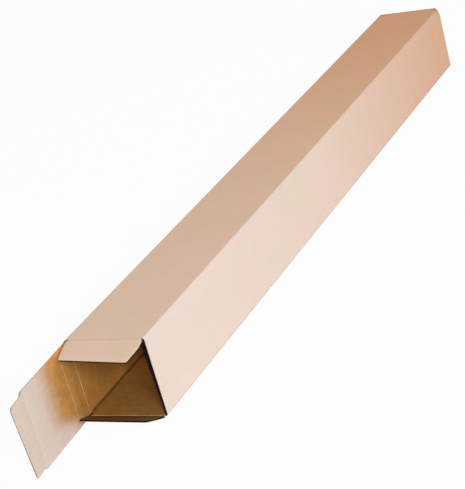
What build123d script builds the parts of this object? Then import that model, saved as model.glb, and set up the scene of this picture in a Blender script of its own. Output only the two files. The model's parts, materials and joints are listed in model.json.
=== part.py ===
from build123d import *
import math
import os

# A square mailing tube of corrugated card, folded from one sheet and lying on its bottom wall.
# X runs along the tube towards the open end, Y to the right, Z up.
# The origin is the middle of the bottom face. Lengths are in millimetres.

# The tube
tube_length = 870.0       # between the dust flaps' creases at the two ends
tube_width = 84.0         # outside, across the bottom wall
tube_height = 80.0        # outside, from the bottom face to the upper face
board = 2.5               # thickness of the card
fold_radius = 2.5         # outside of a fold
right_wall_setback = 3.0  # the right wall stops this far short of the dust flaps' creases

# The glued seam along the upper left edge
glue_tab_width = 25.0
glue_tab_end_cut = 12.0   # how far the tab stops short of the dust flaps' creases
glue_tab_slope = 8.0      # the tab's ends run back by this much
seam_bevel = 1.6          # the left wall's fold under the edge of the upper wall

# Creases that flaps turn on
crease_radius = 0.4       # outer liner rolled along a crease
crease_gap = 0.35         # room between that roll and the board beside it

# Dust flaps
dust_flap_length = 23.0   # along the side next to the closing flap
dust_flap_slope = 4.5     # longer by this much at the tongue's side
dust_hinge_gap = 0.7      # between a folded dust flap and the left wall
dust_hinge_cut = 5.5      # free edge, in from the tube's left face
dust_shoulder_length = 10.0
dust_shoulder_cut = 0.5   # shoulder, in from the tube's right face
dust_tongue_cut = 5.5     # free edge, in from the tube's right face
dust_corner_radius = 2.0
dust_flap_gap = 0.45      # between a folded dust flap and the tucked tongue
upper_dust_tilt = 15.0    # degrees folded in from the upper wall's plane
lower_dust_tilt = 22.0    # degrees folded in from the bottom wall's plane

# Closing flaps and their tongues
closing_gap = 0.6         # between a closed flap and the folded dust flaps
closing_edge_gap = 0.5    # the panel stops this far inside the tube's outline
closing_tilt = 2.5        # degrees folded in from the left wall's plane
score_distance = 12.5     # second score across the panel, from the crease
score_radius = 0.8
score_depth = 0.4
tuck_gap = 0.4            # between a tucked tongue and the right wall
tongue_length = 20.5      # along the lower edge
tongue_slope = 6.0        # longer by this much at the upper edge
tongue_tilt = 6.0         # degrees folded in from the panel's plane
tongue_end_gap = 0.6      # between a tucked tongue and the bottom or upper wall
tongue_round_radius = 6.0
tongue_point_radius = 2.0

overrun = 1.0             # how far cutting solids pass the faces that they cut

# Places worked out from the sizes above
crease_reach = crease_radius + crease_gap
end_x = tube_length / 2
closing_x = end_x + board + closing_gap
panel_length = tube_width - board - tuck_gap
panel_height = tube_height - 2 * closing_edge_gap
tongue_height = tube_height - 2 * (board + tongue_end_gap)
tongue_reach = tongue_length + tongue_slope
# The tucked tongue leans in, so that its free edge swings out past the right wall with the panel.
tongue_lean = math.degrees(math.asin(tongue_reach / (2 * panel_length)))
lean_sine = math.sin(math.radians(tongue_lean))
lean_cosine = math.cos(math.radians(tongue_lean))
dust_reach = 2 * board + closing_gap
tongue_inner_side = panel_length - (board + dust_reach * lean_sine) / lean_cosine
folded_side_cut = tube_width - tongue_inner_side + dust_flap_gap
folded_flap_width = tube_width - 2 * folded_side_cut
dust_hinge_side = -tube_width / 2 + board + dust_hinge_gap

# Crease frames: local X leads along the flap, local Z is the outward face, and a flap folds in
# about local +Y. The origin is on the axis that the flap turns on.
upper_crease = Plane(origin=(end_x, 0, tube_height), x_dir=(1, 0, 0), z_dir=(0, 0, 1))
lower_crease = Plane(origin=(end_x, 0, crease_radius), x_dir=(1, 0, 0), z_dir=(0, 0, -1))
closing_crease = Plane(
    origin=(closing_x, -tube_width / 2, tube_height / 2), x_dir=(1, 0, 0), z_dir=(0, -1, 0)
)


def fold(plane, tilt):
    """Location of a flap that is folded in by tilt degrees about its crease."""
    return plane.location * Rot(0, tilt, 0)


def mitre(width, start, side, face=0):
    """Wedge that bevels a board's edge at 45 degrees, from its outer face inwards."""
    profile = Plane.XZ * make_face(
        Polyline(
            (start - side * overrun, face + overrun),
            (start + side * (board + overrun), face - board - overrun),
            (start - side * overrun, face - board - overrun),
            close=True,
        )
    )
    return extrude(profile, width / 2, both=True)


def crease_roll(width):
    """Outer liner rolled along the crease of a flap."""
    return Rot(90, 0, 0) * Cylinder(crease_radius, width)


def leaf(outline, face=0):
    """Board cut to an outline, bevelled and rolled along the crease at local X = 0."""
    root = outline.edges().sort_by(Axis.X)[0]
    place = Pos(0, root.center().Y, 0)
    plate = Pos(0, 0, face) * extrude(outline, -board)
    bevel = place * mitre(root.length + 2 * overrun, 0, 1, face)
    return plate - bevel + place * crease_roll(root.length)


def strip_outline(length, width):
    """Rectangle that starts at the crease and is centred on it."""
    return Pos(length / 2, 0) * Rectangle(length, width)


def dust_outline():
    """Flap with a shoulder at the tongue's side and a slanting cut from there to its free edge."""
    half = tube_width / 2
    shoulder = half - dust_shoulder_cut
    outline = make_face(
        Polyline(
            (0, dust_hinge_side),
            (0, shoulder),
            (dust_shoulder_length, shoulder),
            (dust_flap_length + dust_flap_slope, half - dust_tongue_cut),
            (dust_flap_length, dust_hinge_cut - half),
            close=True,
        )
    )
    free_corners = outline.vertices().sort_by(Axis.X)[-2:]
    return fillet(free_corners, dust_corner_radius)


def tongue_outline():
    """Tongue with a slanting free edge, a rounded upper corner and a nearly pointed lower one."""
    root = panel_height / 2
    side = tongue_height / 2
    outline = make_face(
        Polyline(
            (0, -root),
            (root - side, -side),
            (tongue_length, -side),
            (tongue_reach, side),
            (root - side, side),
            (0, root),
            close=True,
        )
    )
    outline = fillet(outline.vertices().sort_by(Axis.X)[-1], tongue_round_radius)
    lower_corner = outline.vertices().sort_by_distance((tongue_length, -side))[0]
    return fillet(lower_corner, tongue_point_radius)


def score():
    """Round groove pressed across the inner face of a closing panel."""
    rod = Rot(90, 0, 0) * Cylinder(score_radius, panel_height + 2 * overrun)
    return Pos(score_distance, 0, -board - score_radius + score_depth) * rod


def closing_panel():
    """Open panel, bevelled at both ends for its crease and for its tongue."""
    length = panel_length - crease_reach
    panel = leaf(strip_outline(length, panel_height))
    return panel - mitre(panel_height + 2 * overrun, length, -1) - score()


def tucked_flap():
    """Panel and tongue as one folded board, with the tongue turned in past a right angle."""
    panel = leaf(strip_outline(panel_length - fold_radius, panel_height)) - score()
    turned = -board * (1 + lean_sine)
    inner_corner = panel_length - board * lean_cosine + turned * lean_sine / lean_cosine
    tip_x = panel_length - tongue_reach * lean_sine
    tip_z = -tongue_reach * lean_cosine
    section = make_face(
        Polyline(
            (panel_length / 2, 0),
            (panel_length, 0),
            (tip_x, tip_z),
            (tip_x - board * lean_cosine, tip_z + board * lean_sine),
            (inner_corner, -board),
            (panel_length / 2, -board),
            close=True,
        )
    )
    section = fillet(section.vertices().sort_by(Axis.X)[-1], fold_radius)
    tongue = extrude(Plane.XZ * section, tongue_height / 2, both=True)
    slope = make_face(
        Polyline(
            (tongue_length, -tongue_height / 2),
            (tongue_reach, tongue_height / 2),
            (tongue_reach + overrun, tongue_height / 2),
            (tongue_reach + overrun, -tongue_height / 2),
            close=True,
        )
    )
    tongue -= Pos(panel_length, 0, 0) * Rot(0, 90 + tongue_lean, 0) * extrude(slope, 2 * board, both=True)
    for corner, radius in ((-1, tongue_round_radius), (0, tongue_point_radius)):
        across = tongue.edges().filter_by(lambda edge: abs(edge.length - board) < board / 2)
        tip_edges = across.filter_by(lambda edge: edge.center().Z < -tongue_length / 2)
        tongue = fillet(tip_edges.sort_by(Axis.Y)[corner], radius)
    return panel + tongue


def folded_dust_flap():
    """Dust flap of the closed end, turned in square from its wall, which it runs on from."""
    lap = 2 * board
    section = make_face(
        Polyline(
            (-lap, 0),
            (0, 0),
            (0, -dust_flap_length),
            (-board, -dust_flap_length),
            (-board, -board),
            (-lap, -board),
            close=True,
        )
    )
    outer_corner = section.vertices().sort_by_distance((0, 0, 0))[0]
    solid = extrude(Plane.XZ * fillet(outer_corner, fold_radius), folded_flap_width / 2, both=True)
    free_corners = solid.edges().filter_by(Axis.X).group_by(Axis.Z)[0]
    return fillet(free_corners, dust_corner_radius)


def wall_ring():
    """Section of the four walls, with the upper wall's cut edge over the left wall's fold."""
    half = tube_width / 2
    under_edge = tube_height - board
    outline = make_face(
        Polyline(
            (-half, tube_height),
            (half, tube_height),
            (half, 0),
            (-half, 0),
            (-half, under_edge - seam_bevel),
            (-half + seam_bevel, under_edge),
            (-half, under_edge),
            close=True,
        )
    )
    folds = outline.vertices().group_by(Axis.Y)[0] + [
        outline.vertices().group_by(Axis.Y)[-1].sort_by(Axis.X)[-1]
    ]
    outline = fillet(folds, fold_radius)
    bore = Pos(0, tube_height / 2) * Rectangle(tube_width - 2 * board, tube_height - 2 * board)
    return outline - bore


def glue_tab():
    root = -tube_width / 2 + board
    root_x = end_x - glue_tab_end_cut
    edge_x = root_x - glue_tab_slope
    outline = make_face(
        Polyline(
            (-root_x, root),
            (root_x, root),
            (edge_x, root + glue_tab_width),
            (-edge_x, root + glue_tab_width),
            close=True,
        )
    )
    return Pos(0, 0, tube_height - board) * extrude(outline, -board)


def both_ends(solid):
    return solid + mirror(solid, about=Plane.YZ)


def tube():
    body = extrude(Plane.YZ * wall_ring(), end_x - crease_reach, both=True)
    body += glue_tab()

    # The left wall runs on at both ends to the closing flaps' creases.
    stub_height = tube_height - 3 * board
    stub_start = end_x - crease_reach - board
    stub_length = closing_x - crease_reach - stub_start
    stub = Pos(stub_start, -tube_width / 2, board) * Box(
        stub_length, board, stub_height, align=(Align.MIN, Align.MIN, Align.MIN)
    )
    stub -= closing_crease.location * mitre(tube_height, -crease_reach, -1)
    body += both_ends(stub)

    # The right wall is cut back at both ends.
    cut_start = end_x - right_wall_setback
    cut = Pos(cut_start, tube_width / 2 - board, board) * Box(
        right_wall_setback + overrun,
        board + overrun,
        tube_height - 2 * board,
        align=(Align.MIN, Align.MIN, Align.MIN),
    )
    body -= both_ends(cut)

    # The open end's dust flaps turn in past bevelled edges.
    bevel_start = dust_hinge_side - dust_flap_gap
    bevel_end = tube_width / 2 + overrun
    bevel_width = bevel_end - bevel_start
    bevel_middle = (bevel_start + bevel_end) / 2
    upper_bevel = mitre(bevel_width, -crease_reach, -1)
    lower_bevel = mitre(bevel_width, -crease_reach, -1, crease_radius)
    body -= upper_crease.location * Pos(0, bevel_middle, 0) * upper_bevel
    body -= lower_crease.location * Pos(0, -bevel_middle, 0) * lower_bevel

    # The closed end's dust flaps are folded in.
    far_flap = mirror(upper_crease.location * folded_dust_flap(), about=Plane.YZ)
    body += far_flap
    body += mirror(far_flap, about=Plane.XY.offset(tube_height / 2))
    return body


closing_place = fold(closing_crease, closing_tilt)
tongue_place = closing_place * Pos(panel_length, 0, 0) * Rot(0, tongue_tilt, 0)
upper_outline = dust_outline()
lower_outline = mirror(upper_outline, about=Plane.XZ)
nodes = {
    "tube": tube(),
    "closing_flap": closing_place * closing_panel(),
    "tuck_flap": tongue_place * leaf(tongue_outline()),
    "upper_dust_flap": fold(upper_crease, upper_dust_tilt) * leaf(upper_outline),
    "lower_dust_flap": fold(lower_crease, lower_dust_tilt) * leaf(lower_outline, crease_radius),
    "far_closing_flap": mirror(fold(closing_crease, 90) * tucked_flap(), about=Plane.YZ),
}

os.makedirs("parts", exist_ok=True)
for name, solid in nodes.items():
    export_step(solid, f"parts/{name}.step")
    print(name, len(solid.solids()), "solid", round(solid.volume), "mm3")
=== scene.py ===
import bpy
import json
import math
import bmesh
import numpy as np
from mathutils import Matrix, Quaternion, Vector

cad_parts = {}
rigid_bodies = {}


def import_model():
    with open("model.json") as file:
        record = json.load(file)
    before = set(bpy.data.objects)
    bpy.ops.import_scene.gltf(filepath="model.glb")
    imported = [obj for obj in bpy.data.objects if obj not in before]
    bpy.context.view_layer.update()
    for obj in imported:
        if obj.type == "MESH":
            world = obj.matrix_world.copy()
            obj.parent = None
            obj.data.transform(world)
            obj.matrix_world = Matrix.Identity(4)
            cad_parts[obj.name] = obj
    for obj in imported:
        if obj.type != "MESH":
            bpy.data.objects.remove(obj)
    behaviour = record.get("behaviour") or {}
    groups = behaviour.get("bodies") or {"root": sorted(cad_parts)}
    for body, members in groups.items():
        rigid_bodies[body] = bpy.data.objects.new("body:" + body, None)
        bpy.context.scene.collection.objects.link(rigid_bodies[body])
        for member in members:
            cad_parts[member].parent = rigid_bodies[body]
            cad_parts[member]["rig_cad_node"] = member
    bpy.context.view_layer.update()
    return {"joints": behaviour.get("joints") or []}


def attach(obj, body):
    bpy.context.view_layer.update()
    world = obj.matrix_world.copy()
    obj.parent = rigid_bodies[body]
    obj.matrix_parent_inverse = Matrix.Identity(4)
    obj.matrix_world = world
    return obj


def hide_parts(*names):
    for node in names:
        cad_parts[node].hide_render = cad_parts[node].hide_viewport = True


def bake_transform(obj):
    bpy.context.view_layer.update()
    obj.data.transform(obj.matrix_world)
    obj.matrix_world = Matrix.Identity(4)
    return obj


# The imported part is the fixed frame. Its joints give the axes that the flaps turn on.
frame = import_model()
hinge = {joint["name"]: np.array(joint["pos_m"]) for joint in frame["joints"]}
greatest_turn = {joint["child"]: joint["range_deg"][1] for joint in frame["joints"]}

along_x, across_y, up = np.eye(3)
left = -across_y

# Sizes that the joints give, in metres and degrees
MM = 0.001
SQUARE = 90.0
END_X = hinge["upper_dust_flap_hinge"][0]           # the dust flaps' creases
TUBE_HEIGHT = hinge["upper_dust_flap_hinge"][2]
TUBE_WIDTH = -2 * hinge["closing_flap_hinge"][1]
HALF_HEIGHT = TUBE_HEIGHT / 2
HALF_WIDTH = TUBE_WIDTH / 2
CREASE_FACE = hinge["lower_dust_flap_hinge"][2]     # the lower flap's outer face is this far below its axis
panel_way = hinge["tuck_flap_hinge"] - hinge["closing_flap_hinge"]      # rounded in the record
PANEL_LENGTH = round(math.hypot(*panel_way), 5)
CLOSING_TILT = round(math.degrees(math.atan2(panel_way[1], panel_way[0])), 2)
UPPER_DUST_TILT = SQUARE - greatest_turn["upper_dust_flap"]
LOWER_DUST_TILT = SQUARE - greatest_turn["lower_dust_flap"]
TONGUE_TILT = SQUARE - greatest_turn["tuck_flap"]

# Other sizes, the same as in the part
BOARD = 2.5 * MM
FOLD_RADIUS = 2.5 * MM
RIGHT_WALL_SETBACK = 3.0 * MM
CORNER_SETBACK = 2.6 * MM         # the right corners, so that the dust flaps fold in past them
CREASE_REACH = 0.75 * MM          # walls and flaps stop this far from a crease where no skin joins them
SIDE_GAP = 0.5 * MM               # the panels and the dust flaps' shoulders stop short of the tube's faces
GLUE_TAB_WIDTH = 25.0 * MM
GLUE_TAB_END_CUT = 12.0 * MM
GLUE_TAB_SLOPE = 8.0 * MM
TAB_FOLD_RADIUS = 2.0 * MM
DUST_HINGE_SIDE = BOARD + 0.7 * MM - HALF_WIDTH
DUST_SHOULDER = HALF_WIDTH - SIDE_GAP
DUST_SHOULDER_LENGTH = 10.0 * MM
DUST_LENGTH = 23.0 * MM
DUST_SLOPE = 4.5 * MM
DUST_SIDE_CUT = 5.5 * MM
DUST_CORNER = 2.0 * MM
FOLDED_HALF_WIDTH = 35.2 * MM     # half of a dust flap at the closed end
PANEL_HALF = HALF_HEIGHT - SIDE_GAP
SCORE_DISTANCE = 12.5 * MM
TONGUE_HALF = HALF_HEIGHT - BOARD - 0.6 * MM
TONGUE_LENGTH = 20.5 * MM
TONGUE_SLOPE = 6.0 * MM
TONGUE_ROUND = 6.0 * MM
TONGUE_POINT = 2.0 * MM
FAR_TONGUE_LEAN = math.degrees(math.asin((TONGUE_LENGTH + TONGUE_SLOPE) / (2 * PANEL_LENGTH)))
STUB_LOW = BOARD                  # between these heights the left wall runs on to the closing flaps' creases
STUB_HIGH = TUBE_HEIGHT - 2 * BOARD

# Make-up of the corrugated card
LINER = 0.34 * MM
MEDIUM = 0.22 * MM
FLUTE_PITCH = 6.4 * MM
MEDIUM_RECESS = 0.25 * MM         # the wavy layer is crushed back a little at a cut
CUT_WANDER = 0.10 * MM            # unevenness of a die cut
CREASE_HALF = 3.5 * MM            # half of the crushed strip along a crease
BEND_HALF = 2.6 * MM              # half of the strip that bends
CRUSH_WIDTH = 1.8 * MM            # a die cut presses the board together along its edge
CRUSH_SHARE = 0.7
DUST_CRUSH_SHARE = 0.35
LINE_DISTANCE = 6.7 * MM          # a pressed line inside the left wall, behind the closing flap's crease
LINE_REACH = 11.0 * MM
OUTER, INNER, CORE = 0, 1, 2      # material slots of every card piece

# Fineness of the meshes
COLUMN_STEP = FLUTE_PITCH / 10
BEND_STEP = 0.4 * MM
CREASE_STEP = 0.18 * MM
CORNER_STEPS = 6
LONGEST_ROUND = 0.45              # a rounding takes up at most this share of a side
MERGE_DISTANCE = 2e-6             # points that are nearer to each other than this become one
SHORTEST_EDGE = 1e-6
SHARP_ANGLE = 40.0
HAIR = 1e-6                       # upright sides of an outline lean by this much, for one end in each column
STEP_WIDTH = 1e-5                 # from one column to the next where the board's end makes a step
TINY = 1e-9                       # room for rounding
END_SEED = 9                      # between the seeds of a board's start and of its end


def smooth_step(value, low, high):
    share = np.clip((np.asarray(value, float) - low) / (high - low), 0, 1)
    return share * share * (3 - 2 * share)


def bump_profile(value, middle, half_width):
    """Rounded bump, 1 at the middle and 0 at half_width from it."""
    share = np.clip(np.abs(np.asarray(value, float) - middle) / half_width, 0, 1)
    return 0.5 * (1 + np.cos(np.pi * share))


def wander(values, seed, step):
    """Smooth unevenness along a line, between -1 and 1, the same on every run."""
    source = np.random.default_rng(seed)
    low, high = float(np.min(values)), float(np.max(values))
    knots = np.arange(low - step, high + 2 * step, step)
    return np.interp(values, knots, source.uniform(-1, 1, len(knots)))


# Card meshes


class Card:
    """Collects closed shells of card and turns them into one mesh piece."""

    def __init__(self):
        self.points = []
        self.faces = []
        self.slots = []
        self.values = {"across": [], "tone": [], "wear": []}
        self.count = 0

    def shell(self, top, bottom, across, looks, slots):
        """Closed shell between two grids of points. Slots are those of top, bottom and border."""
        rows, columns = top.shape[:2]
        first = self.count
        for grid in (top, bottom):
            self.points.append(grid.reshape(-1, 3))
            for key, numbers in zip(("across", "tone", "wear"), (across, *looks)):
                self.values[key].append(np.broadcast_to(numbers, (rows, columns)).reshape(-1))
        self.count += 2 * rows * columns
        index = np.arange(rows * columns).reshape(rows, columns) + first
        under = index + rows * columns
        self.quads((index[:-1, :-1], index[1:, :-1], index[1:, 1:], index[:-1, 1:]), slots[0])
        self.quads((under[:-1, :-1], under[:-1, 1:], under[1:, 1:], under[1:, :-1]), slots[1])
        borders = (
            (index[0, :], under[0, :]),
            (index[-1, ::-1], under[-1, ::-1]),
            (index[::-1, 0], under[::-1, 0]),
            (index[:, -1], under[:, -1]),
        )
        for above, below in borders:
            self.quads((above[:-1], above[1:], below[1:], below[:-1]), slots[2])

    def quads(self, corners, slot):
        faces = np.stack([corner.reshape(-1) for corner in corners], 1)
        self.faces.append(faces)
        self.slots.append(np.full(len(faces), slot))

    def piece(self, name, materials):
        points = np.concatenate(self.points)
        faces = np.concatenate(self.faces)
        mesh = bpy.data.meshes.new(name)
        mesh.from_pydata(points.tolist(), [], faces.tolist())
        for material in materials:
            mesh.materials.append(material)
        mesh.polygons.foreach_set("material_index", np.concatenate(self.slots))
        for key, numbers in self.values.items():
            layer = mesh.attributes.new(key, "FLOAT", "POINT")
            layer.data.foreach_set("value", np.concatenate(numbers).astype(np.float32))
        layer = mesh.attributes.new("rest_place", "FLOAT_VECTOR", "POINT")
        layer.data.foreach_set("vector", points.astype(np.float32).reshape(-1))

        # Faces that a pointed outline leaves without area are closed up.
        build = bmesh.new()
        build.from_mesh(mesh)
        bmesh.ops.remove_doubles(build, verts=build.verts, dist=MERGE_DISTANCE)
        bmesh.ops.dissolve_degenerate(build, edges=build.edges, dist=SHORTEST_EDGE)
        bmesh.ops.recalc_face_normals(build, faces=build.faces)
        build.to_mesh(mesh)
        build.free()
        mesh.shade_smooth()
        mesh.set_sharp_from_angle(angle=math.radians(SHARP_ANGLE))
        mesh.update()
        item = bpy.data.objects.new(name, mesh)
        bpy.context.scene.collection.objects.link(item)
        return item


def side_looks(outer=(0.0, 0.0), core=(0.0, 0.0), inner=(0.0, 0.0)):
    """Looks function of board that has one tone and one level of painted shading on each side."""
    sides = {"outer": outer, "core": core, "inner": inner}

    def looks(side, along, across):
        return sides[side]

    return looks


plain_looks = side_looks()


def cut_wander(joined, rough, places, seed):
    """How far back a die cut lies in each column. Board that runs on into a crease isn't cut."""
    return np.where(joined, 0.0, rough) * (wander(places, seed, COLUMN_STEP) + 1) / 2


def thickness_share(distance, crush_share=CRUSH_SHARE):
    """Share of the board's thickness that is left at a distance from a cut."""
    return 1 - crush_share * (1 - smooth_step(distance, 0, CRUSH_WIDTH))


def pressed_depth(depth, kept, share):
    """Depth in board that is pressed to a share of its thickness, where the kept depth stays."""
    return kept + (depth - kept) * share


def add_board(card, columns, start, end, place, steps, looks=plain_looks, relief=None, squeeze=None,
              joined=(False, False), pressed=(True, True, True), kept_share=0.5, crush_share=CRUSH_SHARE,
              edge_slot=OUTER, seed=1):
    """Corrugated board whose flutes run from start to end in each column.

    place(along, across, depth) gives points. Depth 0 is the outer face and BOARD the inner one.
    looks(side, along, across) gives tone and painted shading. relief(along, across) raises the inner face.
    squeeze is each column's thickness as a share. joined tells where the start and the end run on
    into a crease. pressed tells whether the board is thinner at its start, at its end and along its
    sides, kept_share is the depth that it is pressed to, and crush_share how much thinner it gets.
    edge_slot is the material of the outer liner's cut edge.
    """
    columns = np.asarray(columns)[:, None]
    share = np.asarray(steps)[None, :]
    thin = np.ones_like(columns) if squeeze is None else np.asarray(squeeze)[:, None]
    phase = 2 * np.pi * columns / FLUTE_PITCH
    swing = (BOARD - 2 * LINER - MEDIUM) / 2
    wave = BOARD / 2 + swing * np.cos(phase) - MEDIUM / 2
    flat = np.zeros_like(columns)
    layers = (
        ("outer", flat, flat + LINER, (OUTER, CORE, edge_slot)),
        ("core", wave, wave + MEDIUM, (CORE, CORE, CORE)),
        ("inner", flat + BOARD - LINER, flat + BOARD, (CORE, INNER, CORE)),
    )
    room = np.maximum(end - start, 0)
    rough = CUT_WANDER * np.minimum(1, room / (4 * CUT_WANDER))
    for number, (side, top_depth, bottom_depth, slots) in enumerate(layers):
        recess = np.minimum(MEDIUM_RECESS if side == "core" else 0, room / 4)
        low = start + recess + cut_wander(joined[0], rough, columns[:, 0], seed + number)
        high = end - recess - cut_wander(joined[1], rough, columns[:, 0], seed + END_SEED + number)
        along = low[:, None] + (high - low)[:, None] * share
        across = np.broadcast_to(columns, along.shape)
        lift = relief(along, across) if relief is not None and side == "inner" else 0.0
        inside = np.full(along.shape, CRUSH_WIDTH)
        edges = (
            along - start[:, None],
            end[:, None] - along,
            np.minimum(across - columns.min(), columns.max() - across),
        )
        for cut, distance in zip(pressed, edges):
            inside = np.where(np.asarray(cut)[..., None], np.minimum(inside, distance), inside)
        thinned = thickness_share(inside, crush_share)
        kept = BOARD * kept_share
        card.shell(
            place(along, across, pressed_depth(thin * top_depth, kept, thinned)),
            place(along, across, pressed_depth(thin * bottom_depth, kept, thinned) + lift),
            across,
            looks(side, along, across),
            slots,
        )


def turned_frame(along, outward, tilt):
    """Directions of a flap that is folded in by tilt degrees: along it, and out of its outer face."""
    angle = math.radians(tilt)
    turned_along = math.cos(angle) * along - math.sin(angle) * outward
    turned_outward = math.sin(angle) * along + math.cos(angle) * outward
    return turned_along, turned_outward


def flat_place(origin, along_way, across_way, outward, face=0.0):
    """Place function of a flat board whose outer face is face above the origin."""

    def place(along, across, depth):
        return (
            origin
            + along[..., None] * along_way
            + across[..., None] * across_way
            + (face - depth)[..., None] * outward
        )

    return place


def bent_path(pieces):
    """Points along straight runs and arcs in a plane, as rows of distance, run, rise and heading.

    pieces are ("run", length) or ("turn", radius, degrees); a turn goes towards the inner face.
    """
    point = np.zeros(2)
    heading = 0.0
    travelled = 0.0
    rows = [(0.0, 0.0, 0.0, 0.0)]
    for piece in pieces:
        if piece[0] == "run":
            point = point + piece[1] * np.array([math.cos(heading), math.sin(heading)])
            travelled += piece[1]
            rows.append((travelled, point[0], point[1], heading))
            continue
        radius, degrees = piece[1:]
        count = max(3, int(math.ceil(radius * math.radians(degrees) / BEND_STEP)))
        turn = -math.radians(degrees) / count
        chord = 2 * radius * math.sin(abs(turn) / 2)
        for _ in range(count):
            heading += turn / 2
            point = point + chord * np.array([math.cos(heading), math.sin(heading)])
            heading += turn / 2
            travelled += radius * abs(turn)
            rows.append((travelled, point[0], point[1], heading))
    return np.array(rows)


def path_at(path, distance, depth):
    """Run and rise of points at a depth below a bent path."""
    run, rise, heading = (np.interp(distance, path[:, 0], path[:, column]) for column in (1, 2, 3))
    return run + depth * np.sin(heading), rise - depth * np.cos(heading)


def bent_place(path, origin, along_way, across_way, outward):
    """Place function of a board that follows a bent path along its flutes."""

    def place(along, across, depth):
        run, rise = path_at(path, along, depth)
        return (
            origin
            + run[..., None] * along_way
            + rise[..., None] * outward
            + across[..., None] * across_way
        )

    return place


def rounded_line(points, radii):
    """Line through points as (across, along), with its inner corners rounded."""
    line = [np.array(points[0], float)]
    for before, corner, after, radius in zip(points, points[1:], points[2:], radii):
        corner = np.array(corner, float)
        back = np.array(before, float) - corner
        on = np.array(after, float) - corner
        reach_back, reach_on = (
            min(radius, LONGEST_ROUND * np.linalg.norm(way)) * way / np.linalg.norm(way) for way in (back, on)
        )
        for step in range(CORNER_STEPS + 1):
            share = step / CORNER_STEPS
            line.append(corner + (1 - share) ** 2 * reach_back + share ** 2 * reach_on)
    line.append(np.array(points[-1], float))
    return np.array(line)


def column_places(low, high, stops=()):
    """Column places from low to high, with extra columns at the stops."""
    count = int(math.ceil((high - low) / COLUMN_STEP))
    extra = [stop for stop in stops if low < stop < high]
    return np.unique(np.concatenate([np.linspace(low, high, count + 1), extra]).round(7))


def edge_columns(line):
    """Columns for an outline: closer together where its corners are."""
    return column_places(line[:, 0].min(), line[:, 0].max(), line[:, 0])


# Materials: each works on the place at rest, so that it stays on the card as a flap turns

CLOUD_SCALE = 14.0
CLOUD_SHIFT = 15.0 * MM           # the colour along the tube is shifted by up to this much
COLOUR_REACH = 0.5                # metres from the middle to where that colour stops changing
YELLOW_TINT = (0.985, 1.005, 0.975, 1)
PINK_TINT = (1.01, 0.99, 1.01, 1)
WHITE = (1, 1, 1, 1)
TONE_WANDER = 0.03
FIBRE_SCALE = 260.0
FIBRE_STRETCH = (1.0, 6.0, 6.0)
FIBRE_BUMP = 0.12 * MM
FLECK_SCALE = 620.0
FLECK_STRETCH = (1.0, 2.2, 2.2)
FLECK_RANGE = (0.66, 0.74)        # the noise's level where a fleck starts and where it is full
FLUTE_BUMP = 0.01 * MM
ROUGHNESS_WANDER = 0.06
SHEEN = 0.22


def set_input(tree, socket, value):
    if isinstance(value, bpy.types.NodeSocket):
        tree.links.new(value, socket)
    else:
        socket.default_value = value


def add_node(tree, kind, inputs=None, **settings):
    node = tree.nodes.new(kind)
    for key, value in settings.items():
        setattr(node, key, value)
    for key, value in (inputs or {}).items():
        set_input(tree, node.inputs[key], value)
    return node


def blend_colour(tree, factor, first, second, mode="MIX"):
    inputs = {0: factor, 6: first, 7: second}        # the mix node's sockets for colours
    return add_node(tree, "ShaderNodeMix", inputs, data_type="RGBA", blend_type=mode).outputs[2]


def spread(tree, value, low, high, new_low, new_high):
    node = add_node(
        tree,
        "ShaderNodeMapRange",
        {"Value": value, "From Min": low, "From Max": high, "To Min": new_low, "To Max": new_high},
        interpolation_type="SMOOTHSTEP",
    )
    return node.outputs[0]


def about_one(tree, value, share, half_range=0.2):
    """Levels from 1 - share to 1 + share, out of noise that lies about one half."""
    return spread(tree, value, 0.5 - half_range, 0.5 + half_range, 1 - share, 1 + share)


def calculate(tree, operation, first, second):
    return add_node(tree, "ShaderNodeMath", {0: first, 1: second}, operation=operation).outputs[0]


def add_grey(tree, value):
    """A grey whose level is a value of the node tree."""
    return add_node(tree, "ShaderNodeCombineColor", {0: value, 1: value, 2: value}).outputs[0]


def shade(tree, colour, level):
    """The colour made lighter or darker by a level of the node tree."""
    return blend_colour(tree, 1.0, colour, add_grey(tree, level), "MULTIPLY")


def noise(tree, place, scale, detail=3.0, roughness=0.55, stretch=(1, 1, 1)):
    mapping = add_node(tree, "ShaderNodeMapping", {"Vector": place, "Scale": stretch})
    node = add_node(
        tree,
        "ShaderNodeTexNoise",
        {"Vector": mapping.outputs[0], "Scale": scale, "Detail": detail, "Roughness": roughness},
    )
    return node.outputs[0]


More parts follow.
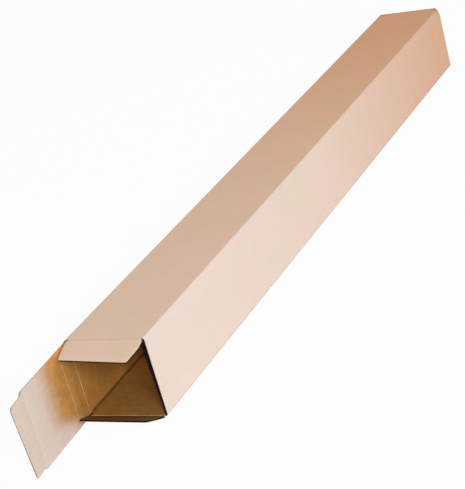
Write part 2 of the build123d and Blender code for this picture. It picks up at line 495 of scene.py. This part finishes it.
def card_material(name, colours, tone_colour, patch_scale, mottle_share, fibre_share, fleck_share,
                  flute_share, roughness):
    """Paper liner: colours run from the open end to the closed one, paler at the open end as painted light,
    and tone_colour lies over them.
    """
    material = bpy.data.materials.new(name)
    material.use_nodes = True
    tree = material.node_tree
    shader = tree.nodes["Principled BSDF"]
    place = add_node(tree, "ShaderNodeAttribute", attribute_name="rest_place").outputs["Vector"]
    across, tone, wear = (
        add_node(tree, "ShaderNodeAttribute", attribute_name=key).outputs["Fac"]
        for key in ("across", "tone", "wear")
    )
    length = add_node(tree, "ShaderNodeSeparateXYZ", {0: place}).outputs[0]

    # Colour along the tube, with soft unevenness; the paler open end is painted light
    cloud = noise(tree, place, CLOUD_SCALE)
    shifted = calculate(tree, "ADD", length, spread(tree, cloud, 0.3, 0.7, -CLOUD_SHIFT, CLOUD_SHIFT))
    share = spread(tree, shifted, COLOUR_REACH, -COLOUR_REACH, 0.0, 1.0)
    colour = blend_colour(tree, share, (*colours[0], 1), (*colours[1], 1))

    # The tone over it, which is painted light on the lit sides, and blotches where there is little of that
    patch = noise(tree, place, patch_scale)
    tone_edge = calculate(tree, "MULTIPLY", tone, about_one(tree, patch, TONE_WANDER, half_range=0.25))
    colour = blend_colour(tree, tone_edge, colour, (*tone_colour, 1))
    mottle = about_one(tree, patch, mottle_share)
    blotches = blend_colour(tree, tone, add_grey(tree, mottle), WHITE)
    colour = blend_colour(tree, 1.0, colour, blotches, "MULTIPLY")

    # Faint clouds, pinker and yellower
    pinkness = spread(tree, cloud, 0.35, 0.65, 0.0, 1.0)
    tint = blend_colour(tree, pinkness, YELLOW_TINT, PINK_TINT)
    colour = blend_colour(tree, 1.0, colour, tint, "MULTIPLY")

    # Painted light makes places lighter, and painted shade makes pressed lines, folds and shaded places
    # darker
    colour = shade(tree, colour, calculate(tree, "ADD", wear, 1.0))

    # Paper fibres, mostly along the flutes, and dark flecks
    fibre = noise(tree, place, FIBRE_SCALE, detail=5.0, roughness=0.7, stretch=FIBRE_STRETCH)
    colour = shade(tree, colour, about_one(tree, fibre, fibre_share))
    fleck = noise(tree, place, FLECK_SCALE, detail=2.0, roughness=0.5, stretch=FLECK_STRETCH)
    colour = shade(tree, colour, spread(tree, fleck, *FLECK_RANGE, 1.0, 1 - fleck_share))

    # The flutes show faintly through the liner
    turn = calculate(tree, "MULTIPLY", across, 2 * math.pi / FLUTE_PITCH)
    wave = add_node(tree, "ShaderNodeMath", {0: turn}, operation="COSINE").outputs[0]
    colour = shade(tree, colour, spread(tree, wave, -1.0, 1.0, 1 - flute_share, 1 + flute_share))
    tree.links.new(colour, shader.inputs["Base Color"])

    rough = spread(tree, fibre, 0.25, 0.75, roughness - ROUGHNESS_WANDER, roughness + ROUGHNESS_WANDER)
    tree.links.new(rough, shader.inputs["Roughness"])
    shader.inputs["Specular IOR Level"].default_value = SHEEN
    paper = add_node(
        tree, "ShaderNodeBump", {"Height": fibre, "Strength": 0.25, "Distance": FIBRE_BUMP}
    )
    washboard = add_node(
        tree,
        "ShaderNodeBump",
        {"Height": wave, "Strength": 0.4, "Distance": FLUTE_BUMP, "Normal": paper.outputs[0]},
    )
    tree.links.new(washboard.outputs[0], shader.inputs["Normal"])
    return material


outer_liner = card_material(
    "outer_liner",
    ((0.77, 0.55, 0.41), (0.73, 0.37, 0.195)),
    (0.78, 0.67, 0.60),
    patch_scale=55.0,
    mottle_share=0.01,
    fibre_share=0.025,
    fleck_share=0.06,
    flute_share=0.004,
    roughness=0.72,
)
inner_liner = card_material(
    "inner_liner",
    ((0.52, 0.25, 0.056), (0.46, 0.22, 0.05)),
    (0.70, 0.58, 0.51),
    patch_scale=140.0,
    mottle_share=0.09,
    fibre_share=0.045,
    fleck_share=0.14,
    flute_share=0.006,
    roughness=0.80,
)
# A shaded copy of pale_cut: its near black is painted shade, as on a cut edge in deep shadow
dark_cut = card_material(
    "dark_cut",
    ((0.012, 0.006, 0.004), (0.050, 0.028, 0.016)),
    (0.60, 0.45, 0.34),
    patch_scale=55.0,
    mottle_share=0.02,
    fibre_share=0.18,
    fleck_share=0.30,
    flute_share=0.0,
    roughness=0.88,
)
pale_cut = card_material(
    "pale_cut",
    ((0.60, 0.45, 0.34), (0.56, 0.38, 0.25)),
    (0.70, 0.58, 0.48),
    patch_scale=55.0,
    mottle_share=0.02,
    fibre_share=0.12,
    fleck_share=0.25,
    flute_share=0.0,
    roughness=0.88,
)
card_materials = (outer_liner, inner_liner, pale_cut)
shaded_edged = (outer_liner, inner_liner, dark_cut)

# The tube: one sheet that runs from the upper wall's cut edge round to the glue tab

wall_runs = (
    ("upper", "run", TUBE_WIDTH - FOLD_RADIUS),
    ("fold", "turn", FOLD_RADIUS, SQUARE),
    ("right", "run", TUBE_HEIGHT - 2 * FOLD_RADIUS),
    ("fold", "turn", FOLD_RADIUS, SQUARE),
    ("bottom", "run", TUBE_WIDTH - 2 * FOLD_RADIUS),
    ("fold", "turn", FOLD_RADIUS, SQUARE),
    ("left", "run", TUBE_HEIGHT - FOLD_RADIUS - BOARD - TAB_FOLD_RADIUS),
    ("tab_fold", "turn", TAB_FOLD_RADIUS, SQUARE),
    ("tab", "run", GLUE_TAB_WIDTH + BOARD - TAB_FOLD_RADIUS),
)
ring = bent_path([run[1:] for run in wall_runs])
run_ends = np.cumsum(
    [run[2] if run[1] == "run" else run[2] * math.radians(run[3]) for run in wall_runs]
)
right_start, right_end, bottom_start = run_ends[1:4]
tab_start = run_ends[-2]
fold_places = [
    (run_ends[number - 1] + run_ends[number]) / 2
    for number, run in enumerate(wall_runs)
    if run[1] == "turn"
]
band_low = DUST_HINGE_SIDE        # the dust flaps' creases reach from here to band_high across
band_high = HALF_WIDTH - FOLD_RADIUS
band_start = HALF_WIDTH + band_low
ring_stops = np.concatenate(
    [ring[:, 0], [band_start - STEP_WIDTH, band_start, HALF_WIDTH + band_high]]
)
ring_columns = column_places(0.0, ring[-1, 0], ring_stops)
ring_runs = np.minimum(np.searchsorted(run_ends, ring_columns + TINY), len(wall_runs) - 1)
ring_walls = [wall_runs[number][0] for number in ring_runs]
ring_y = -HALF_WIDTH + np.interp(ring_columns, ring[:, 0], ring[:, 1])
ring_z = TUBE_HEIGHT + np.interp(ring_columns, ring[:, 0], ring[:, 2])
RIGHT_END = END_X - RIGHT_WALL_SETBACK
FOLDED_ROOT = END_X - 2 * FOLD_RADIUS        # where the closed end's dust flaps start


def wall_ends(wall, y, z, place):
    """Where a column of the tube starts and ends along X."""
    plain = END_X - CREASE_REACH
    if wall in ("upper", "bottom"):
        near = END_X - CREASE_HALF if band_low - TINY <= y <= band_high else plain
        far = FOLDED_ROOT if abs(y) <= FOLDED_HALF_WIDTH else plain
        return -far, near
    if wall == "right":
        return -RIGHT_END, RIGHT_END
    if wall == "left":
        if not STUB_LOW <= z <= STUB_HIGH:
            return -plain, plain
        crease = hinge["closing_flap_hinge"][0]
        return -(crease - CREASE_HALF), crease - LINE_REACH
    if wall == "fold" and place < bottom_start:
        return -plain, END_X - CORNER_SETBACK
    if wall == "tab":
        root = END_X - GLUE_TAB_END_CUT
        reach = root - GLUE_TAB_SLOPE * (place - tab_start) / GLUE_TAB_WIDTH
        return -reach, reach
    return -plain, plain


ring_ends = np.array(
    [wall_ends(*row) for row in zip(ring_walls, ring_y, ring_z, ring_columns)]
)
near_joined = ring_ends[:, 1] < RIGHT_END
far_joined = ring_ends[:, 0] > -FOLDED_ROOT - TINY
FOLD_SQUEEZE = {"fold": 0.92, "tab_fold": 0.75}
ring_squeeze = np.array([FOLD_SQUEEZE.get(wall, 1.0) for wall in ring_walls])

# Wear of the tube, and its painted light and shade, with places along it and sizes in metres
CRUSHED_FROM = END_X - 10.5 * MM  # the ridge is pressed in at the closed end
CRUSHED_TO = END_X - 2.5 * MM
CRUSHED_HALF = 7.0 * MM
CRUSHED_DEPTH = 2.6 * MM
CRUSHED_SHADE = 0.7
CRUSHED_SHADE_SHIFT = 1.5 * MM
OPENED_LENGTH = 24.0 * MM         # the right wall's liners stand apart at the open end
OPENED_FULL = 5.0 * MM            # down from the ridge
OPENED_NONE = 80.0 * MM
OPENED_SHARE = 1.2
WALL_TONES = (0.10, 0.9, 0.35, 0.35, 0.0)        # upper, right, bottom and left wall, and glue tab: painted light, palest on the lit right wall
TONE_EDGE = (2.0 * MM, 0.4 * MM)  # before each fold the tone changes between these distances
LOOK_STOPS = (5.0 * MM - END_X, 0.0, END_X - 5.0 * MM)    # along the tube, for the next two
# Painted light: the tone and the lightening fade towards the closed end
TONE_ALONG = (0.25, 0.8, 1.0)
PAINTED_LIGHT_ALONG = (0.0, 0.035, 0.012)
RIDGE_HALF = 3.0 * MM
RIDGE_SHADE = 0.04
CORNER_HALF = 5.5 * MM            # half of the painted shade inside each fold
CORNER_SHADE = 0.9
INSIDE_SHADE_SPAN = (END_X - 95.0 * MM, END_X - 45.0 * MM)           # from where the inside gets more and more painted shade
WALL_SHADE = {"bottom": -0.36, "right": -0.1}
# Painted light inside, most about 100 mm in from the open end, in place of light bounced round the tube
BOUNCE_LIGHT_STOPS = (0.0, END_X - 100.0 * MM, END_X - 50.0 * MM)
BOUNCE_LIGHT_ALONG = (0.3, 0.65, 0.0)
ring_shade = np.array([WALL_SHADE.get(wall, 0.0) for wall in ring_walls])


def crushed_corner(along, across):
    """How far the ridge is pressed in at the closed end, as a share."""
    return smooth_step(-along, CRUSHED_FROM, CRUSHED_TO) * bump_profile(across, fold_places[0], CRUSHED_HALF)


def opened_end(along, across):
    """How far the right wall's liners stand apart at the open end, most at the top, as a share."""
    down = smooth_step(across, right_start + OPENED_NONE, right_start + OPENED_FULL)
    on_wall = (across > right_start) * (across < right_end)
    return smooth_step(along, RIGHT_END - OPENED_LENGTH, RIGHT_END) * down * on_wall


def ring_place(along, across, depth):
    run, rise = path_at(ring, across, depth * (1 + OPENED_SHARE * opened_end(along, across)))
    press = CRUSHED_DEPTH * crushed_corner(along, across)
    return np.stack([along, run - HALF_WIDTH - press, TUBE_HEIGHT + rise - press], -1)


def fold_lines(across, half_width):
    return sum(bump_profile(across, place, half_width) for place in fold_places)


def tube_looks(side, along, across):
    """Outside, each wall has its tone, which is painted light, and the ridges and the crushed corner have
    painted shade. Inside, painted shade lies in each fold and towards the open end, and painted light further
    in.
    """
    if side == "outer":
        tone = WALL_TONES[0]
        for before, after, place in zip(WALL_TONES, WALL_TONES[1:], fold_places):
            tone = tone + (after - before) * smooth_step(across, place - TONE_EDGE[0], place - TONE_EDGE[1])
        tone = tone * np.interp(along, LOOK_STOPS, TONE_ALONG)
        tube_light_and_shade = np.interp(along, LOOK_STOPS, PAINTED_LIGHT_ALONG) - RIDGE_SHADE * fold_lines(across, RIDGE_HALF)
        return tone, tube_light_and_shade - CRUSHED_SHADE * crushed_corner(along, across + CRUSHED_SHADE_SHIFT)
    if side == "inner":
        fold = fold_lines(across, CORNER_HALF)
        shade_level = smooth_step(along, *INSIDE_SHADE_SPAN) * np.interp(across, ring_columns, ring_shade)
        bounce_light = np.interp(along, BOUNCE_LIGHT_STOPS, BOUNCE_LIGHT_ALONG)
        return 0.0, (shade_level + bounce_light) * (1 - fold) - CORNER_SHADE * fold
    return 0.0, 0.0


# Steps along the tube are closer together where its shape or its looks change.
long_steps = np.unique(
    np.concatenate(
        [
            np.linspace(0, 1, 3),
            np.linspace(0.001, 0.014, 6),
            np.linspace(0.885, 0.942, 4),
            np.linspace(0.964, 0.999, 6),
        ]
    )
)
tube_card = Card()
add_board(
    tube_card,
    ring_columns,
    ring_ends[:, 0],
    ring_ends[:, 1],
    ring_place,
    long_steps,
    tube_looks,
    squeeze=ring_squeeze,
    joined=(far_joined, near_joined),
    pressed=(False, False, True),
    edge_slot=CORE,
    seed=11,
)

# The closed end's dust flaps, folded in square from the upper and the bottom wall
folded_path = bent_path(
    [("run", FOLD_RADIUS), ("turn", FOLD_RADIUS, SQUARE), ("run", DUST_LENGTH - FOLD_RADIUS)]
)
folded_length = folded_path[-1, 0]
folded_line = rounded_line(
    [
        (-FOLDED_HALF_WIDTH, 0.0),
        (-FOLDED_HALF_WIDTH + HAIR, folded_length),
        (FOLDED_HALF_WIDTH - HAIR, folded_length),
        (FOLDED_HALF_WIDTH, 0.0),
    ],
    [DUST_CORNER, DUST_CORNER],
)
folded_columns = edge_columns(folded_line)
folded_end = np.interp(folded_columns, folded_line[:, 0], folded_line[:, 1])
fold_steps = np.concatenate([[0.0], np.linspace(0.08, 0.27, 12), [0.5, 0.75, 0.93, 0.965, 1.0]])
for level, outward in ((TUBE_HEIGHT, up), (0.0, -up)):
    add_board(
        tube_card,
        folded_columns,
        np.zeros_like(folded_columns),
        folded_end,
        bent_place(folded_path, level * up - FOLDED_ROOT * along_x, -along_x, across_y, outward),
        fold_steps,
        joined=(True, False),
        pressed=(False, True, True),
        seed=23,
    )
tube_piece = tube_card.piece("tube_card", shaded_edged)
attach(tube_piece, "tube")
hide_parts("tube")

# The dust flaps of the open end
dust_line = rounded_line(
    [
        (DUST_HINGE_SIDE, 0.0),
        (-HALF_WIDTH + DUST_SIDE_CUT, DUST_LENGTH),
        (HALF_WIDTH - DUST_SIDE_CUT, DUST_LENGTH + DUST_SLOPE),
        (DUST_SHOULDER - HAIR, DUST_SHOULDER_LENGTH),
        (DUST_SHOULDER, CREASE_REACH),
    ],
    [DUST_CORNER, DUST_CORNER, DUST_CORNER / 2],
)
dust_stops = np.concatenate([dust_line[:, 0], [band_high, band_high + STEP_WIDTH]])
dust_columns = column_places(DUST_HINGE_SIDE, DUST_SHOULDER, dust_stops)
dust_end = np.interp(dust_columns, dust_line[:, 0], dust_line[:, 1])
free_root = dust_columns > band_high
dust_start = np.minimum(np.where(free_root, CREASE_REACH, CREASE_HALF), dust_end)
flap_steps = np.linspace(0, 1, 9)
# The upper flap's outside is a little darker with painted shade, so that it renders as bright as the wall
upper_dust_looks = side_looks(outer=(0.07, -0.04))
lower_dust_looks = side_looks(outer=(0.25, 0.0), inner=(0.0, -0.72))     # painted shade inside, where the tube shades the flap
for name, tilt, outward, face, looks in (
    ("upper_dust_flap", UPPER_DUST_TILT, up, 0.0, upper_dust_looks),
    ("lower_dust_flap", LOWER_DUST_TILT, -up, CREASE_FACE, lower_dust_looks),
):
    flap_along, flap_outward = turned_frame(along_x, outward, tilt)
    flap = Card()
    add_board(
        flap,
        dust_columns,
        dust_start,
        dust_end,
        flat_place(hinge[name + "_hinge"], flap_along, across_y, flap_outward, face),
        flap_steps,
        looks,
        joined=(~free_root, False),
        pressed=(free_root, True, free_root),
        crush_share=DUST_CRUSH_SHARE,
        seed=31,
    )
    piece = flap.piece(name + "_card", shaded_edged)
    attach(piece, name)
    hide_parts(name)

# The closing flap, with a second score across it that shows as a fine bead
closing_along, closing_outward = turned_frame(along_x, left, CLOSING_TILT)
SCORE_BEAD = 0.30 * MM
SCORE_BEAD_HALF = 0.8 * MM
SCORE_GROOVE = 0.25 * MM
SCORE_GROOVE_HALF = 0.9 * MM
SCORE_GROOVE_PLACE = SCORE_DISTANCE - 1.5 * MM
SCORE_SHADE_PLACE = SCORE_DISTANCE - 1.4 * MM
BROWN_REACH = 42.0 * MM           # the painted shadow, brown, reaches this far from the crease
BROWN_LOSS = 40.0 * MM            # and this much less at the lower edge
BROWN_LOSS_RANGE = (13.0 * MM, 42.0 * MM)        # below the panel's middle
FADE_BEFORE = 17.0 * MM
FADE_AFTER = 24.0 * MM
LEAST_PALE = 0.03
BROWN_PAINTED_LIGHT = 0.12
# Painted highlight on the score's bead and painted shade in the groove beside it
SCORE_PALENESS = 0.14
SCORE_LIGHT = 0.3
SCORE_DARK = 0.4
WALL_TONE = 0.35                  # outside, as on the left wall


def score_relief(along, across):
    bead = SCORE_BEAD * bump_profile(along, SCORE_DISTANCE, SCORE_BEAD_HALF)
    groove = SCORE_GROOVE * bump_profile(along, SCORE_GROOVE_PLACE, SCORE_GROOVE_HALF)
    return bead - groove


def closing_looks(side, along, across):
    """Inside, painted shadow keeps it brown near the crease, and it pales with painted light to the free end,
    sooner at the bottom; the bead has a painted highlight and the groove beside it painted shade.
    """
    if side != "inner":
        return WALL_TONE, 0.0
    edge = BROWN_REACH - BROWN_LOSS * smooth_step(-across, *BROWN_LOSS_RANGE)
    pale = np.maximum(LEAST_PALE, smooth_step(along, edge - FADE_BEFORE, edge + FADE_AFTER))
    bead = bump_profile(along, SCORE_DISTANCE, SCORE_BEAD_HALF)
    groove = bump_profile(along, SCORE_SHADE_PLACE, SCORE_GROOVE_HALF)
    wear = BROWN_PAINTED_LIGHT * (1 - pale) + SCORE_LIGHT * bead - SCORE_DARK * groove
    return np.maximum(pale, SCORE_PALENESS * bead), wear


panel_columns = column_places(-PANEL_HALF, PANEL_HALF)
panel_start = np.full_like(panel_columns, CREASE_HALF)
panel_end = np.full_like(panel_columns, PANEL_LENGTH - CREASE_HALF)
score_share = SCORE_DISTANCE / PANEL_LENGTH
score_steps = np.linspace(score_share - 0.10, score_share + 0.05, 40)
panel_steps = np.unique(np.concatenate([np.linspace(0, 1, 19), score_steps]).round(5))
panel = Card()
add_board(
    panel,
    panel_columns,
    panel_start,
    panel_end,
    flat_place(hinge["closing_flap_hinge"], closing_along, up, closing_outward),
    panel_steps,
    closing_looks,
    relief=score_relief,
    joined=(True, True),
    pressed=(False, False, True),
    kept_share=1.0,
    seed=41,
)
panel_piece = panel.piece("closing_flap_card", card_materials)
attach(panel_piece, "closing_flap")
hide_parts("closing_flap")

# Its tongue
tongue_along, tongue_outward = turned_frame(along_x, left, CLOSING_TILT + TONGUE_TILT)
# Inside, the tongue is pale with painted light, as the closing flap's free end
tongue_looks = side_looks(outer=(0.4, 0.0), core=(0.4, 0.0), inner=(1.0, 0.03))
tongue_line = rounded_line(
    [
        (-TONGUE_HALF, CREASE_HALF),
        (-TONGUE_HALF + HAIR, TONGUE_LENGTH),
        (TONGUE_HALF - HAIR, TONGUE_LENGTH + TONGUE_SLOPE),
        (TONGUE_HALF, CREASE_HALF),
    ],
    [TONGUE_POINT, TONGUE_ROUND],
)
tongue_columns = edge_columns(tongue_line)
tongue_end = np.interp(tongue_columns, tongue_line[:, 0], tongue_line[:, 1])
tongue_start = np.full_like(tongue_columns, CREASE_HALF)
tongue = Card()
add_board(
    tongue,
    tongue_columns,
    tongue_start,
    tongue_end,
    flat_place(hinge["tuck_flap_hinge"], tongue_along, up, tongue_outward),
    flap_steps,
    tongue_looks,
    joined=(True, False),
    pressed=(False, True, True),
    kept_share=1.0,
    seed=51,
)
tongue_piece = tongue.piece("tuck_flap_card", card_materials)
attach(tongue_piece, "tuck_flap")
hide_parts("tuck_flap")

# The closed end's flap: panel and tongue in one, turned in past a right angle
turn = SQUARE + FAR_TONGUE_LEAN
tangent = FOLD_RADIUS * math.tan(math.radians(turn / 2))
tongue_root = PANEL_LENGTH - tangent
far_path = bent_path(
    [
        ("run", tongue_root),
        ("turn", FOLD_RADIUS, turn),
        ("run", TONGUE_LENGTH + TONGUE_SLOPE - tangent),
    ]
)
far_length = far_path[-1, 0]
far_line = rounded_line(
    [
        (-PANEL_HALF, tongue_root),
        (-TONGUE_HALF - HAIR, tongue_root),
        (-TONGUE_HALF, far_length - TONGUE_SLOPE),
        (TONGUE_HALF, far_length),
        (TONGUE_HALF + HAIR, tongue_root),
        (PANEL_HALF, tongue_root),
    ],
    [HAIR, TONGUE_POINT, TONGUE_ROUND, HAIR],
)
far_columns = edge_columns(far_line)
far_start = np.full_like(far_columns, CREASE_HALF)
far_end = np.interp(far_columns, far_line[:, 0], far_line[:, 1])
far_steps = np.unique(
    np.concatenate([np.linspace(0, 0.70, 10), np.linspace(0.70, 0.86, 24), [0.93, 1.0]])
)
far = Card()
add_board(
    far,
    far_columns,
    far_start,
    far_end,
    bent_place(far_path, hinge["far_closing_flap_hinge"], across_y, up, -along_x),
    far_steps,
    joined=(True, False),
    pressed=(False, True, True),
    seed=61,
)
far_piece = far.piece("far_closing_flap_card", card_materials)
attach(far_piece, "far_closing_flap")
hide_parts("far_closing_flap")

# Creases: the two liners run on from a wall to its flap and bend between them

WRINKLE_PLACE = 11.0 * MM         # across the upper dust flap's crease
WRINKLE_REACH = 11.0 * MM
WRINKLE_PITCH = 2.2 * MM
WRINKLE_DEPTH = 0.12 * MM
WRINKLE_SHADE = 0.12
BEAD_PALENESS = 0.4


def crease_skins(flap, wall_along, outward, across_way, tilt, spans, relief, looks, face=0.0,
                 wall_reach=CREASE_HALF, bend=(-BEND_HALF, BEND_HALF), kept_share=0.5, wrinkle_place=None):
    """Outer and inner liner across a crease. relief(along) gives the inner one's height, painted shading and
    tone.

    spans are the ends across at the wall, at the crease and at the flap. looks are the outer liner's
    tone and painted shading and the inner one's tone. face is the outer face's height over the axis. bend is
    where along the strip it turns. wrinkle_place is where across the outer liner has a few fine
    wrinkles.
    """
    origin = hinge[flap + "_hinge"]
    wall_span, crease_span, flap_span = spans
    count = len(column_places(*crease_span))
    share = np.linspace(0, 1, count)[:, None]
    step_count = int(math.ceil((wall_reach + CREASE_HALF) / CREASE_STEP))
    along = np.linspace(-wall_reach, CREASE_HALF, step_count + 1)[None, :]
    stops = (-CREASE_HALF, -CREASE_REACH, CREASE_REACH, CREASE_HALF)
    low, high = (
        np.interp(along, stops, (wall_span[end], crease_span[end], crease_span[end], flap_span[end]))
        for end in (0, 1)
    )
    across = low + (high - low) * share
    along = np.broadcast_to(along, across.shape)
    angle = np.radians(tilt) * smooth_step(along, *bend)

    def skin_point(depth):
        """Points at a depth below the outer face, bent about the crease."""
        height = face - depth
        run = np.cos(angle) * along + np.sin(angle) * height
        rise = -np.sin(angle) * along + np.cos(angle) * height
        return (
            origin
            + run[..., None] * wall_along
            + rise[..., None] * outward
            + across[..., None] * across_way
        )

    height, wear, paleness = relief(along)
    inner_depth = BOARD + height
    flat = np.zeros_like(along)
    wrinkle = flat
    if wrinkle_place is not None:
        near = bump_profile(across, wrinkle_place, WRINKLE_REACH) * bump_profile(along, 0.0, CREASE_HALF)
        wrinkle = near * (1 + np.cos(2 * np.pi * along / WRINKLE_PITCH)) / 2
    thinned = thickness_share(np.minimum(across - across.min(0), across.max(0) - across))
    kept = BOARD * kept_share
    outer_tone, outer_shading, inner_tone = looks
    outer_looks = (outer_tone, outer_shading - WRINKLE_SHADE * wrinkle)
    inner_looks = (inner_tone + paleness, wear)
    for side, top, bottom, slots, level, side_looks in (
        ("outer", WRINKLE_DEPTH * wrinkle, flat + LINER, (OUTER, INNER, CORE), 0.0, outer_looks),
        ("inner", inner_depth - LINER, inner_depth, (INNER, INNER, CORE), BOARD, inner_looks),
    ):
        skin = Card()
        top_points = skin_point(pressed_depth(top, kept, thinned))
        bottom_points = skin_point(pressed_depth(bottom, kept, thinned))
        skin.shell(top_points, bottom_points, across, side_looks, slots)
        piece = skin.piece(f"{flap}_{side}_crease", card_materials)
        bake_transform(piece)


def crease_line(depth=0.0, groove_place=0.0, groove_half=CREASE_HALF, dark=0.0, bead=0.0, bead_place=0.0,
                bead_half=MM, light=0.0, shade_level=0.0):
    """Relief of a crease's inner side: a groove of a depth, darkened by painted shade, and a bead of a
    height, made pale by a painted highlight.
    """

    def relief(along):
        groove_shape = bump_profile(along, groove_place, groove_half)
        bead_shape = bump_profile(along, bead_place, bead_half)
        height = bead * bead_shape - depth * groove_shape
        wear = shade_level * (1 - bead_shape) + light * bead_shape - dark * groove_shape
        return height, wear, BEAD_PALENESS * light * bead_shape

    return relief


dust_spans = 3 * ((band_low, band_high),)
panel_span = (-PANEL_HALF, PANEL_HALF)
closing_spans = ((STUB_LOW - HALF_HEIGHT, PANEL_HALF), panel_span, panel_span)
tongue_spans = (panel_span, panel_span, (-TONGUE_HALF, TONGUE_HALF))
# In the creases, the pale beads are painted highlights and the dark grooves painted shade; shade_level is
# painted shade on the lower dust flap and a touch of painted light on the tongue's crease, and the upper dust
# crease's outer level is painted shade as on its flap
crease_skins(
    flap="upper_dust_flap",
    wall_along=along_x,
    outward=up,
    across_way=across_y,
    tilt=UPPER_DUST_TILT,
    spans=dust_spans,
    relief=crease_line(depth=1.0 * MM, dark=0.15, bead=0.6 * MM, bead_half=0.8 * MM, light=0.2),
    looks=(0.06, -0.025, 0.0),
    bend=(-CREASE_HALF, CREASE_HALF),
    wrinkle_place=WRINKLE_PLACE,
)
crease_skins(
    flap="lower_dust_flap",
    wall_along=along_x,
    outward=-up,
    across_way=across_y,
    tilt=LOWER_DUST_TILT,
    spans=dust_spans,
    relief=crease_line(depth=1.0 * MM, bead=0.7 * MM, bead_half=1.8 * MM, light=0.9, shade_level=-0.5),
    looks=(0.25, 0.0, 0.0),
    face=CREASE_FACE,
    bend=(0.0, CREASE_HALF),
)
crease_skins(
    flap="closing_flap",
    wall_along=along_x,
    outward=left,
    across_way=up,
    tilt=CLOSING_TILT,
    spans=closing_spans,
    relief=crease_line(
        depth=0.7 * MM,
        groove_place=-LINE_DISTANCE - 1.5 * MM,
        groove_half=1.1 * MM,
        dark=0.6,
        bead=0.35 * MM,
        bead_place=-LINE_DISTANCE,
        bead_half=0.9 * MM,
        light=0.4,
    ),
    looks=(WALL_TONE, 0.0, 0.015),
    wall_reach=LINE_REACH,
    kept_share=1.0,
)
crease_skins(
    flap="tuck_flap",
    wall_along=closing_along,
    outward=closing_outward,
    across_way=up,
    tilt=TONGUE_TILT,
    spans=tongue_spans,
    relief=crease_line(shade_level=0.02),
    looks=(WALL_TONE, 0.0, 1.0),
    kept_share=1.0,
)
crease_skins(
    flap="far_closing_flap",
    wall_along=-along_x,
    outward=left,
    across_way=up,
    tilt=SQUARE,
    spans=closing_spans,
    relief=crease_line(depth=0.6 * MM, dark=0.2),
    looks=(0.05, 0.0, 0.0),
)

# Floor: pale, and nearly white to the camera, with the object's soft shadow

FLOOR_REACH = 8.0
FLOOR_DROP = 0.2 * MM
FLOOR_COLOUR = (0.80, 0.79, 0.78, 1)
FLOOR_WHITENESS = 0.95
AMBIENT = 0.45


def seen_directly(tree):
    """1 for a ray from the camera, also after a mirror or through something clear, and otherwise 0."""
    rays = add_node(tree, "ShaderNodeLightPath")
    seen = calculate(tree, "MAXIMUM", rays.outputs["Is Camera Ray"], rays.outputs["Is Glossy Ray"])
    return calculate(tree, "MAXIMUM", seen, rays.outputs["Is Transmission Ray"])


floor_mesh = bpy.data.meshes.new("floor")
floor_corners = [
    (x * FLOOR_REACH, y * FLOOR_REACH, 0) for x, y in ((-1, -1), (1, -1), (1, 1), (-1, 1))
]
floor_mesh.from_pydata(floor_corners, [], [(0, 1, 2, 3)])
floor = bpy.data.objects.new("floor", floor_mesh)
floor.location.z = -FLOOR_DROP
bpy.context.scene.collection.objects.link(floor)
floor_material = bpy.data.materials.new("floor")
floor_material.use_nodes = True
tree = floor_material.node_tree
floor_paint = tree.nodes["Principled BSDF"]
floor_paint.inputs["Base Color"].default_value = FLOOR_COLOUR
floor_paint.inputs["Roughness"].default_value = 0.9
floor_paint.inputs["Specular IOR Level"].default_value = 0.1
white = add_node(tree, "ShaderNodeEmission", {"Color": WHITE, "Strength": 1.0})
whiteness = calculate(tree, "MULTIPLY", seen_directly(tree), FLOOR_WHITENESS)
mixed = add_node(
    tree, "ShaderNodeMixShader", {0: whiteness, 1: floor_paint.outputs[0], 2: white.outputs[0]}
)
tree.links.new(mixed.outputs[0], tree.nodes["Material Output"].inputs["Surface"])
floor_mesh.materials.append(floor_material)

# World: white to the camera, and a plain soft level for the object

world = bpy.data.worlds.new("world")
bpy.context.scene.world = world
world.use_nodes = True
tree = world.node_tree
background = tree.nodes["Background"]
background.inputs["Color"].default_value = WHITE
level = add_node(
    tree, "ShaderNodeMapRange", {"Value": seen_directly(tree), "To Min": AMBIENT, "To Max": 1.0}
)
tree.links.new(level.outputs[0], background.inputs["Strength"])

# Lights: a broad soft lamp from the camera's side and a weak one from the right


def add_light(name, place, target, size, power):
    data = bpy.data.lights.new(name, "AREA")
    data.shape = "RECTANGLE"
    data.size, data.size_y = size
    data.energy = power
    lamp = bpy.data.objects.new(name, data)
    bpy.context.scene.collection.objects.link(lamp)
    lamp.location = place
    way = Vector(target) - Vector(place)
    lamp.rotation_mode = "QUATERNION"
    lamp.rotation_quaternion = way.to_track_quat("-Z", "Y")


add_light("front", place=(3.05, 2.15, 1.9), target=(0.2, 0.0, 0.04), size=(1.6, 1.6), power=100.0)
add_light("side", place=(-0.25, 2.3, 1.40), target=(0.05, 0.0, 0.04), size=(1.6, 0.9), power=12.0)

# Camera, at the photograph's place and turn

CAMERA_PLACE = Vector((1.48601, 0.77254, 0.66315))
CAMERA_TARGET = Vector((0.16674, -0.00206, 0.04))
CAMERA_ROLL = math.radians(-15.66)
CAMERA_SENSOR = 36.0
CAMERA_LENS = 118.445

camera_data = bpy.data.cameras.new("camera")
camera_data.sensor_width = CAMERA_SENSOR
camera_data.lens = CAMERA_LENS
camera = bpy.data.objects.new("camera", camera_data)
bpy.context.scene.collection.objects.link(camera)
camera.location = CAMERA_PLACE
camera.rotation_mode = "QUATERNION"
look = (CAMERA_TARGET - CAMERA_PLACE).to_track_quat("-Z", "Y")
camera.rotation_quaternion = look @ Quaternion((0, 0, 1), CAMERA_ROLL)
bpy.context.scene.camera = camera

bpy.context.scene.view_settings.view_transform = "Standard"
